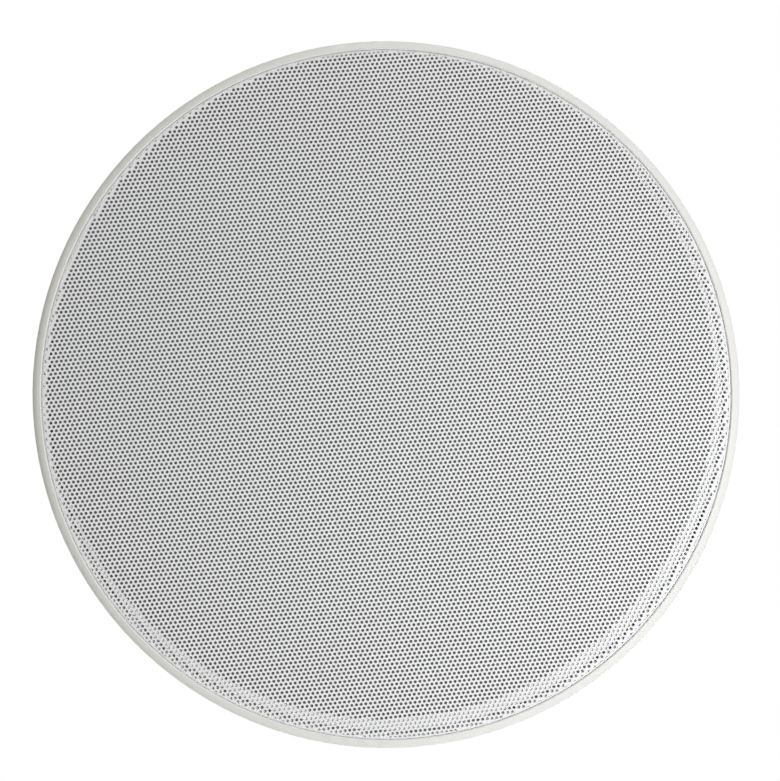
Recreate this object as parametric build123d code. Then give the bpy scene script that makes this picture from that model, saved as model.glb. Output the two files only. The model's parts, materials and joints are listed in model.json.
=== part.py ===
from build123d import *
import os
from math import ceil, cos, hypot, radians, sin, sqrt

# A round in-ceiling loudspeaker: a coaxial two-way driver in a moulded frame, behind a perforated grille.
# Millimetres. The origin is the centre of the flange's ceiling seat, +Z points up into the ceiling void, and
# the grille faces the room below. Heights are given along +Z, so the front of a piece is its lower side.

# Woofer seat and clamp space, from the middle outwards. They add up to the cut-out and to the flange.
WOOFER_D = 166.0
WOOFER_GAP = 1.5
BAFFLE_LAP = 8.0
WALL = 2.2
CLAMP_SPACE = 12.6
SPIGOT_H = 24.0
SEAT_W = 12.8

# Flange, bezel, grille channel and the flare inside it.
FLANGE_T = 2.0
BEZEL_H = 6.5
BEZEL_W = 2.8
BEZEL_CHAMFER = 0.3
BEZEL_FALL = 1.0
CHANNEL_W = 2.9
LIP_WALL = 5.0
FLARE_INSET = 4.0
LEDGE_Z = 0.0
BAFFLE_Z = 12.0
BAFFLE_T = 2.5

# Grille: a pressed steel dish. Each large hole stands for a patch of the fine perforation, with the same
# ratio of hole to pitch.
GRILLE_GAP = 0.15
GRILLE_SET_BACK = 0.3
GRILLE_SHEET = 0.5
GRILLE_BEND = 0.9
GRILLE_HEM = 1.75
GRILLE_EDGE = 4.0
PERF_PITCH = 1.5
PERF_D = 1.0
PERF_GROUP = 8
PERF_TURN = -6.1

# Black cloth glued behind the grille, a little off its middle as the photograph shows it.
CLOTH_D = 213.0
CLOTH_T = 0.1
CLOTH_SHIFT_X = 0.2
CLOTH_SHIFT_Y = 1.95
CLOTH_GAP = 0.05

# Magnets in the channel floor that hold the grille's lip.
MAGNET_COUNT = 8
MAGNET_L = 10.0
MAGNET_W = 2.4
MAGNET_T = 1.0
MAGNET_AIR = 0.1

# Woofer basket, gasket and cone.
GASKET_T = 1.0
GASKET_INSET = 0.5
BASKET_T = 2.0
COLLAR_GAP = 0.8
COLLAR_RISE = 4.5
BASKET_DEPTH = 38.0
BASKET_BASE_D = 106.0
BASKET_BORE_D = 40.0
SPOKE_W = 14.0
SPOKES = 4
WINDOW_MARGIN = 2.0
SPIDER_LEDGE_H = 4.0
SPIDER_LEDGE_D = 90.0
SPIDER_LAND = 5.0
SPIDER_WAVE = 2.6
SPIDER_T = 0.7
ROLL_W = 12.2
ROLL_H = 5.4
ROLL_TOP_W = 8.5
ROLL_T = 0.8
ROLL_FOOT = 1.0
GLUE = 0.1
CONE_DEPTH = 22.3
CONE_T = 1.0
CAP_D = 40.0
CAP_SAG = 6.0

# Motor: front plate, ferrite ring, back plate with its pole, and the coil in the gap.
PLATE_D = 84.0
PLATE_T = 6.0
FERRITE_D = 90.0
FERRITE_BORE_D = 44.0
FERRITE_T = 17.0
COIL_D = 25.4
FORMER_T = 0.4
WINDING_T = 0.5
WINDING_L = 11.0
COIL_AIR = 0.4
POLE_VENT_D = 8.0

# Tweeter on a bridge across the front of the woofer.
BRIDGE_T = 3.5
BRIDGE_SPAN_T = 3.0
BRIDGE_W = 16.0
BRIDGE_END_GAP = 1.0
BRIDGE_RING_W = 4.0
BRIDGE_RING_H = 7.5
TWEETER_D = 43.0
TWEETER_GAP = 0.2
TWEETER_RIM_W = 3.0
TWEETER_RIM_T = 0.9
TWEETER_DEPTH = 15.5
TWEETER_MOUTH_D = 36.0
TWEETER_THROAT_D = 27.0
TWEETER_THROAT_DEPTH = 3.0
DOME_SAG = 2.4
DOME_BANDS = 4
DOME_GAP = 0.3
TWEETER_MAGNET_D = 30.0
TWEETER_MAGNET_T = 3.0

# Four swing-out clamps: a long screw, a dog on its thread, and a moulded tower that stops and guards the dog.
CLAMPS = 4
CLAMP_START = 45.0
CLAMP_HEAD_D = 9.0
CLAMP_HEAD_H = 3.0
CLAMP_SCREW_D = 4.5
CLAMP_HOLE_GAP = 0.25
CLAMP_TIP = 2.4
THREAD_GAP = 0.1
DOG_GAP = 1.3
DOG_L = 24.0
DOG_H = 12.0
DOG_TIP_H = 4.0
DOG_TIP_ROUND = 2.5
DOG_STOWED = 97.0
DOG_REST_Z = 44.0
STOP_GAP = 0.5
TOWER_T = 2.8
TOWER_WEB_T = 2.3
CAP_GAP = 0.6
TOWER_CAP_T = 3.0
SLOT_GAP = 0.9
SLOT_SILL = 1.6

# Stiffening ribs between the bucket and the skirt, on the arc that the clamp dogs leave free.
RIBS_PER_CLAMP = 4
RIB_FIRST = 30.0
RIB_STEP = 15.0
RIB_T = 1.8
RIB_H = 8.0

# Fasteners, as head diameter, head height, shank diameter and shank length.
WOOFER_SCREW = (7.0, 2.4, 3.8, 11.0)
BRIDGE_SCREW = (6.4, 2.2, 3.2, 10.0)
BOARD_SCREW = (5.6, 1.8, 2.6, 6.6)
TERMINAL_SCREW = (5.6, 1.8, 3.0, 5.2)
SCREW_GAP = 0.05
FREE_GAP = 0.2
BOSS_WALL = 2.0
WOOFER_BOSS_H = 7.0
BRIDGE_BOSS_H = 8.0
COUNTERBORE_GAP = 0.3

# Crossover board and what is soldered to it.
BOARD_TURN = 274.0
BOARD_SPAN = 54.0
BOARD_T = 1.6
BOARD_LIFT = 3.0
BOARD_GAP = 1.3
BOARD_INSET = 2.0
BOARD_HOLE_INSET = 2.7
BOARD_END_ANGLE = 2.7
INDUCTOR_D = 19.0
INDUCTOR_BORE_D = 8.0
INDUCTOR_H = 9.0
INDUCTOR_AT = -12.2
CAPACITOR_D = 9.6
CAPACITOR_L = 20.0
CAPACITOR_AT = 9.8
CAPACITOR_SPREAD = 5.4
RESISTOR_L = 12.0
RESISTOR_W = 5.0
RESISTOR_AT = -3.0

# Spring-lever wire terminal.
TERMINAL_TURN = 94.0
TERMINAL_W = 32.0
TERMINAL_H = 17.5
TERMINAL_INSET = 2.0
TERMINAL_REAR_WALL = 2.0
EAR_W = 8.0
EAR_T = 3.0
EAR_INSET = 2.0
LEVER_PITCH = 16.0
LEVER_POCKET_W = 8.4
LEVER_POCKET_L = 9.8
LEVER_POCKET_H = 14.0
LEVER_GAP = 0.4
LEVER_BARREL_D = 4.8
LEVER_TAB_T = 2.4
LEVER_RISE = 8.0
LEVER_PIN_D = 2.4
LEVER_PIN_L = 1.0
PIN_GAP = 0.05
WIRE_D = 3.2
WIRE_DEPTH = 10.0
WIRE_INSET = 4.0
SPRING_T = 0.6
SPRING_SIDE_GAP = 1.0

# Radii that follow from the sizes above.
woofer_r = WOOFER_D / 2
opening_r = woofer_r - BAFFLE_LAP
bucket_in = woofer_r + WOOFER_GAP
bucket_out = bucket_in + WALL
skirt_in = bucket_out + CLAMP_SPACE
spigot_r = skirt_in + WALL
flange_r = spigot_r + SEAT_W
bezel_in = flange_r - BEZEL_W
channel_in = bezel_in - CHANNEL_W
flare_front = channel_in - LIP_WALL
flare_back = spigot_r - FLARE_INSET
grille_r = bezel_in - GRILLE_GAP
clamp_r = (bucket_out + skirt_in) / 2
screw_circle_r = (opening_r + woofer_r) / 2
ledge_r = (bucket_out + flare_back) / 2
collar_out = opening_r - COLLAR_GAP
collar_in = collar_out - BASKET_T
cone_r = collar_in - ROLL_W
former_in = COIL_D / 2
former_out = former_in + FORMER_T
winding_out = former_out + WINDING_T
pole_r = former_in - COIL_AIR
gap_r = winding_out + COIL_AIR
hub_r = CLAMP_SPACE / 2 - DOG_GAP
board_in = opening_r + BOARD_INSET
board_out = skirt_in - BOARD_GAP
board_mid = (board_in + board_out) / 2

# Heights that follow, from the room upwards.
bezel_z = -BEZEL_H
grille_z = bezel_z + GRILLE_SET_BACK
sheet_back = grille_z + GRILLE_SHEET
magnet_z = -FLANGE_T - MAGNET_T
bridge_z = LEDGE_Z - BRIDGE_T
ledge_back = LEDGE_Z + WALL
baffle_back = BAFFLE_Z + BAFFLE_T
gasket_z = BAFFLE_Z - GASKET_T
basket_z = gasket_z - BASKET_T
collar_top = baffle_back + COLLAR_RISE
basket_back = basket_z + BASKET_DEPTH
basket_floor = basket_back - BASKET_T
spider_ledge_z = basket_floor - SPIDER_LEDGE_H
plate_back = basket_back + PLATE_T
ferrite_back = plate_back + FERRITE_T
yoke_back = ferrite_back + PLATE_T
cone_z = basket_z + GLUE
neck_z = cone_z + CONE_DEPTH
tower_top = DOG_REST_Z + DOG_H + CAP_GAP + TOWER_CAP_T
board_z = baffle_back + BOARD_LIFT
board_back = board_z + BOARD_T
terminal_back = baffle_back + TERMINAL_H

FROM_BASE = (Align.CENTER, Align.CENTER, Align.MIN)


def turned(*outline):
    """A closed outline of (radius, height) points, turned about the vertical axis."""
    return revolve(make_face(Plane.XZ * Polyline(*outline, close=True)), Axis.Z)


def rod(radius, low, high):
    """An upright round bar between two heights."""
    return Pos(0, 0, low) * Cylinder(radius, high - low, align=FROM_BASE)


def tube(inner, outer, low, high):
    """An upright ring between two heights."""
    return rod(outer, low, high) - rod(inner, low, high)


def domed(rim_r, seat, sag):
    """A low dome on a rim, with its crown towards the room, in a few bands of a parabola."""
    shares = [step / DOME_BANDS for step in range(1, DOME_BANDS + 1)]
    bands = [(rim_r * share, seat - sag * (1 - share ** 2)) for share in shares]
    return turned((0, bands[0][1]), *bands, (0, seat))


def block(x_range, y_range, z_range):
    """A box between two limits on each axis."""
    spans = [high - low for low, high in (x_range, y_range, z_range)]
    corner = (Align.MIN, Align.MIN, Align.MIN)
    return Pos(x_range[0], y_range[0], z_range[0]) * Box(*spans, align=corner)


def polar(radius, angle, height=0):
    """A place at a radius and a compass angle, turned to face outwards."""
    return Rot(0, 0, angle) * Pos(radius, 0, height)


def clamp_angles():
    return [CLAMP_START + 360 / CLAMPS * i for i in range(CLAMPS)]


def cross_angles():
    """The two ends of the tweeter bridge."""
    return [0, 180]


def board_holes():
    """Places of the three board screws, two near the ends and one at the inner edge."""
    end = BOARD_SPAN / 2 - BOARD_END_ANGLE
    ends = [polar(board_mid, BOARD_TURN + side * end) for side in (-1, 1)]
    return ends + [polar(board_in + BOARD_HOLE_INSET, BOARD_TURN)]


def terminal_holes():
    """Places of the two screws in the terminal's ears."""
    across = TERMINAL_W / 2 + EAR_W / 2
    middle = polar(screw_circle_r + EAR_INSET, TERMINAL_TURN)
    return [middle * Pos(0, side * across, 0) for side in (-1, 1)]


def screw(size):
    """A pan-head screw with its shank upwards and its head below z = 0."""
    head_d, head_h, shank_d, length = size
    head = rod(head_d / 2, -head_h, 0)
    return head + rod(shank_d / 2, 0, length)


def screw_hole(size, gap, low, high):
    return rod(size[2] / 2 + gap, low, high)


def group(pieces):
    """Separate solids of one kind in one node."""
    return Compound(children=list(pieces))


def frame_shell():
    """Bezel, grille channel, flare, ledge, woofer bucket and skirt, as one turned section."""
    seat = (spigot_r, 0)
    edge = (flange_r, bezel_z + BEZEL_FALL)
    crest = (bezel_in + BEZEL_CHAMFER, bezel_z)
    outer = Polyline(seat, (flange_r, 0), edge)
    bezel = TangentArc(crest, edge, tangent=(1, 0))
    wall_top = sheet_back + CLOTH_T + CLOTH_GAP
    inner = Polyline(
        crest,
        (bezel_in, bezel_z + BEZEL_CHAMFER),
        (bezel_in, -FLANGE_T),
        (channel_in, -FLANGE_T),
        (channel_in, wall_top),
        (flare_front, wall_top),
        (flare_back, LEDGE_Z),
        (bucket_in, LEDGE_Z),
        (bucket_in, BAFFLE_Z),
        (opening_r, BAFFLE_Z),
        (opening_r, baffle_back),
        (bucket_out, baffle_back),
        (bucket_out, ledge_back),
        (skirt_in, ledge_back),
        (skirt_in, SPIGOT_H),
        (spigot_r, SPIGOT_H),
        seat,
    )
    return revolve(make_face(Plane.XZ * (outer + bezel + inner)), Axis.Z)


def clamp_tower():
    """Web, stop rib and cap round one clamp screw, with the screw on the local z axis."""
    web_in = bucket_in - clamp_r
    web_out = web_in + TOWER_WEB_T
    stop = -hub_r - STOP_GAP
    rib_out = skirt_in + WALL / 2 - clamp_r
    sides = (stop - TOWER_T, hub_r)
    web = block((web_in, web_out), sides, (ledge_back, tower_top))
    rib = block((web_in, rib_out), (stop - TOWER_T, stop), (ledge_back, SPIGOT_H))
    post = block((web_in, hub_r), (stop - TOWER_T, stop), (ledge_back, tower_top))
    cap = block((web_in, hub_r), sides, (tower_top - TOWER_CAP_T, tower_top))
    return web + rib + post + cap


def ribs():
    """Radial ribs that stiffen the floor between bucket and skirt."""
    wall = block(
        (bucket_out - WALL / 2, skirt_in + WALL / 2),
        (-RIB_T / 2, RIB_T / 2),
        (ledge_back, ledge_back + RIB_H),
    )
    angles = [a + RIB_FIRST + RIB_STEP * i for a in clamp_angles() for i in range(RIBS_PER_CLAMP)]
    return [Rot(0, 0, a) * wall for a in angles]


def boss(size, low, high):
    return rod(size[2] / 2 + BOSS_WALL, low, high)


def frame():
    """The white moulding that carries everything: shell, ribs, clamp towers, slots and screw bosses."""
    slot_half = hub_r + SLOT_GAP
    reach = spigot_r + WALL - clamp_r
    slot = block((hub_r, reach), (-hub_r - STOP_GAP, slot_half), (ledge_back + SLOT_SILL, tower_top))
    clamp_hole = rod(CLAMP_SCREW_D / 2 + CLAMP_HOLE_GAP, LEDGE_Z - WALL, tower_top + WALL)
    woofer_top = baffle_back + WOOFER_BOSS_H
    woofer_boss = boss(WOOFER_SCREW, baffle_back, woofer_top)
    bridge_top = ledge_back + BRIDGE_BOSS_H
    bridge_boss = boss(BRIDGE_SCREW, ledge_back, bridge_top)
    added = ribs() + [polar(clamp_r, a) * clamp_tower() for a in clamp_angles()]
    added += [polar(screw_circle_r, a) * woofer_boss for a in clamp_angles()]
    added += [polar(ledge_r, a) * bridge_boss for a in cross_angles()]
    board_ends = board_holes()
    added += [place * boss(BOARD_SCREW, ledge_back, board_z) for place in board_ends[:2]]
    added += [board_ends[2] * boss(BOARD_SCREW, baffle_back, board_z)]
    cut = [polar(clamp_r, a) * slot for a in clamp_angles()]
    cut += [polar(clamp_r, a) * clamp_hole for a in clamp_angles()]
    woofer_hole = screw_hole(WOOFER_SCREW, SCREW_GAP, BAFFLE_Z, woofer_top)
    cut += [polar(screw_circle_r, a) * woofer_hole for a in clamp_angles()]
    bridge_hole = screw_hole(BRIDGE_SCREW, SCREW_GAP, LEDGE_Z, bridge_top)
    cut += [polar(ledge_r, a) * bridge_hole for a in cross_angles()]
    cut += [place * screw_hole(BOARD_SCREW, SCREW_GAP, BAFFLE_Z, board_z) for place in board_ends]
    ear_hole = screw_hole(TERMINAL_SCREW, SCREW_GAP, BAFFLE_Z, baffle_back)
    cut += [place * ear_hole for place in terminal_holes()]
    return frame_shell() + added - cut


def perforation():
    """Centres of the staggered holes, on a triangular lattice inside the grille's plain edge."""
    pitch = PERF_PITCH * PERF_GROUP
    hole_r = PERF_D / 2 * PERF_GROUP
    limit = grille_r - GRILLE_EDGE - hole_r
    reach = range(-2 * ceil(limit / pitch), 2 * ceil(limit / pitch) + 1)
    cells = [((i + j / 2) * pitch, j * pitch * sqrt(3) / 2) for i in reach for j in reach]
    return [(x, y) for x, y in cells if hypot(x, y) <= limit], hole_r


def grille():
    """Pressed steel dish: perforated face, hemmed edge and the lip that drops into the channel."""
    lip_end = magnet_z - MAGNET_AIR
    hem_back = sheet_back + GRILLE_SHEET
    dish = turned(
        (0, grille_z),
        (grille_r - GRILLE_BEND, grille_z),
        (grille_r, grille_z + GRILLE_BEND),
        (grille_r, lip_end),
        (grille_r - GRILLE_SHEET, lip_end),
        (grille_r - GRILLE_SHEET, hem_back),
        (grille_r - GRILLE_HEM, hem_back),
        (grille_r - GRILLE_HEM, sheet_back),
        (0, sheet_back),
    )
    centres, hole_r = perforation()
    holes = Sketch() + [Pos(x, y) * RegularPolygon(hole_r, 6) for x, y in centres]
    return dish - Pos(0, 0, grille_z) * Rot(0, 0, PERF_TURN) * extrude(holes, GRILLE_SHEET)


def grille_cloth():
    """Thin cloth that hides the drivers, on the back of the sheet."""
    return Pos(CLOTH_SHIFT_X, CLOTH_SHIFT_Y, 0) * rod(CLOTH_D / 2, sheet_back, sheet_back + CLOTH_T)


def grille_magnets():
    """Block magnets glued to the channel floor under the grille's lip."""
    middle = (channel_in + bezel_in) / 2
    magnet = block((-MAGNET_W / 2, MAGNET_W / 2), (-MAGNET_L / 2, MAGNET_L / 2), (magnet_z, -FLANGE_T))
    step = 360 / MAGNET_COUNT
    return group(polar(middle, step * (i + 0.5)) * magnet for i in range(MAGNET_COUNT))


def woofer_gasket():
    """Foam ring between the basket's flange and the baffle, inside the circle of screws."""
    outer = screw_circle_r - WOOFER_SCREW[2] / 2 - GASKET_INSET
    return tube(opening_r + GASKET_INSET, outer, gasket_z, BAFFLE_Z)


def woofer_basket():
    """Pressed basket: flange, collar, four spokes round open windows, spider ledge and rear plate."""
    base_r = BASKET_BASE_D / 2
    ledge_in = SPIDER_LEDGE_D / 2
    slope = hypot(collar_out - base_r, basket_back - collar_top)
    inset_r = BASKET_T * (basket_back - collar_top) / slope
    inset_z = BASKET_T * (collar_out - base_r) / slope
    run = (collar_out - base_r) / (basket_back - collar_top)
    bend_z = collar_top - inset_z + (BASKET_T - inset_r) / run
    ledge_out = collar_in - (spider_ledge_z - bend_z) * run
    shell = turned(
        (woofer_r, basket_z),
        (woofer_r, gasket_z),
        (collar_out, gasket_z),
        (collar_out, collar_top),
        (base_r, basket_back),
        (BASKET_BORE_D / 2, basket_back),
        (BASKET_BORE_D / 2, basket_floor),
        (ledge_in, basket_floor),
        (ledge_in, spider_ledge_z),
        (ledge_out, spider_ledge_z),
        (collar_in, bend_z),
        (collar_in, basket_z),
    )
    low = collar_top + WINDOW_MARGIN
    high = spider_ledge_z - WINDOW_MARGIN
    bars = [Rot(0, 0, CLAMP_START + 360 / SPOKES * i) * spoke_bar(low, high) for i in range(SPOKES)]
    windows = tube(ledge_in, woofer_r, low, high) - bars
    hole = screw_hole(WOOFER_SCREW, FREE_GAP, basket_z, gasket_z)
    return shell - [windows] - [polar(screw_circle_r, a) * hole for a in clamp_angles()]


def spoke_bar(low, high):
    """The stretch of basket wall that is left as one spoke."""
    return block((0, WOOFER_D), (-SPOKE_W / 2, SPOKE_W / 2), (low, high))


def woofer_surround():
    """Half-roll edge from the basket's flange to the cone's rim."""
    top_out = (collar_in + cone_r + ROLL_TOP_W) / 2
    top_in = top_out - ROLL_TOP_W
    crest = basket_z - GLUE - ROLL_H
    foot = basket_z - GLUE
    rim = cone_z - GLUE
    return turned(
        (collar_in + ROLL_FOOT + ROLL_T, foot),
        (top_out, crest),
        (top_in, crest),
        (cone_r - ROLL_T, rim),
        (cone_r + ROLL_FOOT - ROLL_T, rim),
        (top_in + ROLL_FOOT / 2, crest + ROLL_T),
        (top_out - ROLL_FOOT / 2, crest + ROLL_T),
        (collar_in + ROLL_FOOT - ROLL_T / 2, foot),
    )


def woofer_cone():
    """Straight-sided cone from the surround to the coil former."""
    neck_r = former_out + GLUE
    return turned(
        (cone_r, cone_z),
        (cone_r, cone_z + CONE_T),
        (neck_r, neck_z + CONE_T),
        (neck_r, neck_z),
    )


def dust_cap():
    """Domed cap glued to the cone over the coil."""
    cap_r = CAP_D / 2
    neck_r = former_out + GLUE
    rim = neck_z - (cap_r - neck_r) * CONE_DEPTH / (cone_r - neck_r) - GLUE
    return domed(cap_r, rim, CAP_SAG)


def voice_coil():
    """Thin former with the winding at its end, centred in the magnet gap."""
    middle = basket_back + PLATE_T / 2
    low = middle - WINDING_L / 2
    high = middle + WINDING_L / 2
    return turned(
        (former_in, neck_z - CONE_T),
        (former_out, neck_z - CONE_T),
        (former_out, low),
        (winding_out, low),
        (winding_out, high),
        (former_in, high),
    )


def woofer_spider():
    """Corrugated disc that centres the coil, from the former to the basket's ledge."""
    inner = former_out + 2 * GLUE
    ledge_in = SPIDER_LEDGE_D / 2
    middle = spider_ledge_z - GLUE - SPIDER_T / 2
    step = (ledge_in - inner) / 3
    line = [
        (ledge_in + SPIDER_LAND, 0),
        (ledge_in - SPIDER_LAND, 0),
        (inner + step, -SPIDER_WAVE),
        (inner, 0),
    ]
    front = [(r, middle + wave - SPIDER_T / 2) for r, wave in line]
    back = [(r, middle + wave + SPIDER_T / 2) for r, wave in reversed(line)]
    return turned(*front, *back)


def top_plate():
    """Front steel plate of the magnet gap."""
    return tube(gap_r, PLATE_D / 2, basket_back, plate_back)


def ferrite_magnet():
    return tube(FERRITE_BORE_D / 2, FERRITE_D / 2, plate_back, ferrite_back)


def back_plate():
    """Rear steel plate with the vented pole in one piece."""
    vent = POLE_VENT_D / 2
    return turned(
        (vent, basket_back),
        (pole_r, basket_back),
        (pole_r, ferrite_back),
        (PLATE_D / 2, ferrite_back),
        (PLATE_D / 2, yoke_back),
        (vent, yoke_back),
    )


def tweeter_bridge():
    """Bar across the front of the woofer with a ring for the tweeter in its middle."""
    end = flare_back - BRIDGE_END_GAP
    half_w = BRIDGE_W / 2
    ring_in = TWEETER_D / 2 + TWEETER_GAP
    span = block((-end, end), (-half_w, half_w), (bridge_z, bridge_z + BRIDGE_SPAN_T))
    foot = block((bucket_out, end), (-half_w, half_w), (bridge_z, LEDGE_Z))
    feet = [Rot(0, 0, a) * foot for a in cross_angles()]
    ring = rod(ring_in + BRIDGE_RING_W, bridge_z, bridge_z + BRIDGE_RING_H)
    trim = rod(end, bridge_z, bridge_z + BRIDGE_RING_H)
    bar = (span + feet + ring) & trim
    bore = rod(ring_in, bridge_z, bridge_z + BRIDGE_RING_H)
    head_d, head_h = BRIDGE_SCREW[:2]
    sink = rod(head_d / 2 + COUNTERBORE_GAP, bridge_z, bridge_z + head_h)
    hole = screw_hole(BRIDGE_SCREW, FREE_GAP, bridge_z, LEDGE_Z)
    return bar - bore - [polar(ledge_r, a) * (sink + hole) for a in cross_angles()]


def tweeter_housing():
    """Cup with a rim that rests on the bridge's ring and a short flared mouth."""
    front = bridge_z - TWEETER_RIM_T
    throat = front + TWEETER_THROAT_DEPTH
    return turned(
        (0, throat),
        (TWEETER_THROAT_D / 2, throat),
        (TWEETER_MOUTH_D / 2, front),
        (TWEETER_D / 2 + TWEETER_RIM_W, front),
        (TWEETER_D / 2 + TWEETER_RIM_W, bridge_z),
        (TWEETER_D / 2, bridge_z),
        (TWEETER_D / 2, bridge_z + TWEETER_DEPTH),
        (0, bridge_z + TWEETER_DEPTH),
    )


def tweeter_dome():
    """Soft dome at the bottom of the mouth."""
    rim_r = TWEETER_THROAT_D / 2 - DOME_GAP
    seat = bridge_z - TWEETER_RIM_T + TWEETER_THROAT_DEPTH
    return domed(rim_r, seat, DOME_SAG)


def tweeter_magnet():
    """Small slug magnet on the back of the tweeter cup."""
    back = bridge_z + TWEETER_DEPTH
    return rod(TWEETER_MAGNET_D / 2, back, back + TWEETER_MAGNET_T)


def clamp_screw():
    """Long screw through the ledge and the tower's cap, with its head towards the room."""
    tip = tower_top + CLAMP_TIP
    head = rod(CLAMP_HEAD_D / 2, LEDGE_Z - CLAMP_HEAD_H, LEDGE_Z)
    return head + rod(CLAMP_SCREW_D / 2, LEDGE_Z, tip)


def clamp_dog():
    """Clamp arm with its hub on the local z axis and its arm along local x."""
    side = Polyline(
        (0, 0),
        (DOG_L, 0),
        (DOG_L, DOG_TIP_H),
        (hub_r, DOG_H),
        (0, DOG_H),
        close=True,
    )
    arm = extrude(Plane.XZ * make_face(side), hub_r, both=True)
    tip = arm.edges().filter_by(Axis.Z).group_by(Axis.X)[-1]
    body = fillet(tip, DOG_TIP_ROUND) + rod(hub_r, 0, DOG_H)
    return Pos(0, 0, DOG_REST_Z) * (body - rod(CLAMP_SCREW_D / 2 + THREAD_GAP, 0, DOG_H))


def crossover_board():
    """Curved circuit board on three bosses behind the baffle."""
    full = tube(board_in, board_out, board_z, board_back)
    half = BOARD_SPAN / 2
    wide = board_out * 2
    keep = make_face(Polyline((0, 0), at_angle(wide, -half), (wide, 0), at_angle(wide, half), close=True))
    sector = Rot(0, 0, BOARD_TURN) * Pos(0, 0, board_z) * extrude(keep, BOARD_T)
    hole = screw_hole(BOARD_SCREW, FREE_GAP, board_z, board_back)
    return (full & sector) - [place * hole for place in board_holes()]


def at_angle(radius, angle):
    return (radius * cos(radians(angle)), radius * sin(radians(angle)))


def on_board(angle, outwards=0):
    """A place on the back of the board, by its angle and its distance outwards from the board's middle."""
    return polar(board_mid + outwards, BOARD_TURN + angle, board_back)


def inductor():
    """Air-core coil that lies on the board."""
    return on_board(INDUCTOR_AT) * tube(INDUCTOR_BORE_D / 2, INDUCTOR_D / 2, 0, INDUCTOR_H)


def capacitors():
    """Two film capacitors that lie side by side on the board."""
    can = Pos(0, 0, CAPACITOR_D / 2) * Rot(90, 0, 0) * Cylinder(CAPACITOR_D / 2, CAPACITOR_L)
    return group(on_board(CAPACITOR_AT, side * CAPACITOR_SPREAD) * can for side in (-1, 1))


def resistor():
    """Ceramic block resistor on the outer half of the board."""
    half = RESISTOR_W / 2
    end = (board_out - board_in) / 2
    return on_board(RESISTOR_AT) * block((end - RESISTOR_L, end), (-half, half), (0, RESISTOR_W))


def lever_places():
    """The two lever pockets' middles, at the height of their pivots."""
    inner = opening_r + TERMINAL_INSET
    outer = inner + 2 * WIRE_INSET + LEVER_POCKET_L / 2
    pivot_z = terminal_back - LEVER_POCKET_H + LEVER_BARREL_D / 2 + LEVER_GAP
    middle = polar(outer, TERMINAL_TURN, pivot_z)
    return [middle * Pos(0, side * LEVER_PITCH / 2, 0) for side in (-1, 1)]


def across_rod(radius, length):
    """A round bar along local y, centred."""
    return Rot(90, 0, 0) * Cylinder(radius, length)


def terminal_block():
    """Moulded block with two lever pockets, two wire holes and a screw ear at each end."""
    inner = opening_r + TERMINAL_INSET
    wall_in = inner + 2 * WIRE_INSET
    outer = wall_in + LEVER_POCKET_L + TERMINAL_REAR_WALL
    half = TERMINAL_W / 2
    place = Rot(0, 0, TERMINAL_TURN)
    body = block((inner, outer), (-half, half), (baffle_back, terminal_back))
    ear_half = half + EAR_W
    ears = block((inner, bucket_out), (-ear_half, ear_half), (baffle_back, baffle_back + EAR_T))
    pocket_half = LEVER_POCKET_L / 2
    pivot_z = LEVER_BARREL_D / 2 + LEVER_GAP
    depth = (-pivot_z, LEVER_POCKET_H - pivot_z)
    pocket = block((-pocket_half, pocket_half), (-LEVER_POCKET_W / 2, LEVER_POCKET_W / 2), depth)
    pin_hole = across_rod(LEVER_PIN_D / 2 + PIN_GAP, LEVER_POCKET_W + 2 * LEVER_PIN_L + 2 * PIN_GAP)
    wire = rod(WIRE_D / 2, terminal_back - WIRE_DEPTH, terminal_back)
    wires = [place * Pos(inner + WIRE_INSET, side * LEVER_PITCH / 2, 0) * wire for side in (-1, 1)]
    ear_hole = screw_hole(TERMINAL_SCREW, FREE_GAP, baffle_back, baffle_back + EAR_T)
    cut = [lever * (pocket + pin_hole) for lever in lever_places()] + wires
    cut += [hole * ear_hole for hole in terminal_holes()]
    return place * (body + ears) - cut


def lever():
    """Thumb lever with its pivot on the local y axis."""
    width = LEVER_POCKET_W - 2 * LEVER_GAP
    top = LEVER_POCKET_H + LEVER_RISE - LEVER_BARREL_D / 2
    tab = block((-LEVER_TAB_T / 2, LEVER_TAB_T / 2), (-width / 2, width / 2), (0, top))
    barrel = across_rod(LEVER_BARREL_D / 2, width)
    pins = across_rod(LEVER_PIN_D / 2, LEVER_POCKET_W + 2 * LEVER_PIN_L)
    return tab + barrel + pins


def terminal_springs():
    """Leaf springs that press the bared wire, one on the inner wall of each pocket."""
    wall = -LEVER_POCKET_L / 2
    half = LEVER_POCKET_W / 2 - SPRING_SIDE_GAP
    low = -LEVER_BARREL_D / 2 - LEVER_GAP
    high = LEVER_POCKET_H + low - SPRING_SIDE_GAP
    leaf = block((wall, wall + SPRING_T), (-half, half), (low, high))
    return group(place * leaf for place in lever_places())


def facing_room(size, place, seat):
    """A screw driven from the room, with its head under a seat height."""
    return place * Pos(0, 0, seat) * screw(size)


def from_above(size, place, seat):
    """A screw driven from the ceiling side, with its head on a seat height."""
    return place * Pos(0, 0, seat) * Rot(180, 0, 0) * screw(size)


def fasteners():
    """Screws, in one group for each kind."""
    woofer = [facing_room(WOOFER_SCREW, polar(screw_circle_r, a), basket_z) for a in clamp_angles()]
    bridge_seat = bridge_z + BRIDGE_SCREW[1]
    bridge = [facing_room(BRIDGE_SCREW, polar(ledge_r, a), bridge_seat) for a in cross_angles()]
    board = [from_above(BOARD_SCREW, place, board_back) for place in board_holes()]
    ear_seat = baffle_back + EAR_T
    terminal = [from_above(TERMINAL_SCREW, place, ear_seat) for place in terminal_holes()]
    return {
        "woofer_screws": group(woofer),
        "bridge_screws": group(bridge),
        "board_screws": group(board),
        "terminal_screws": group(terminal),
    }


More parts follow.
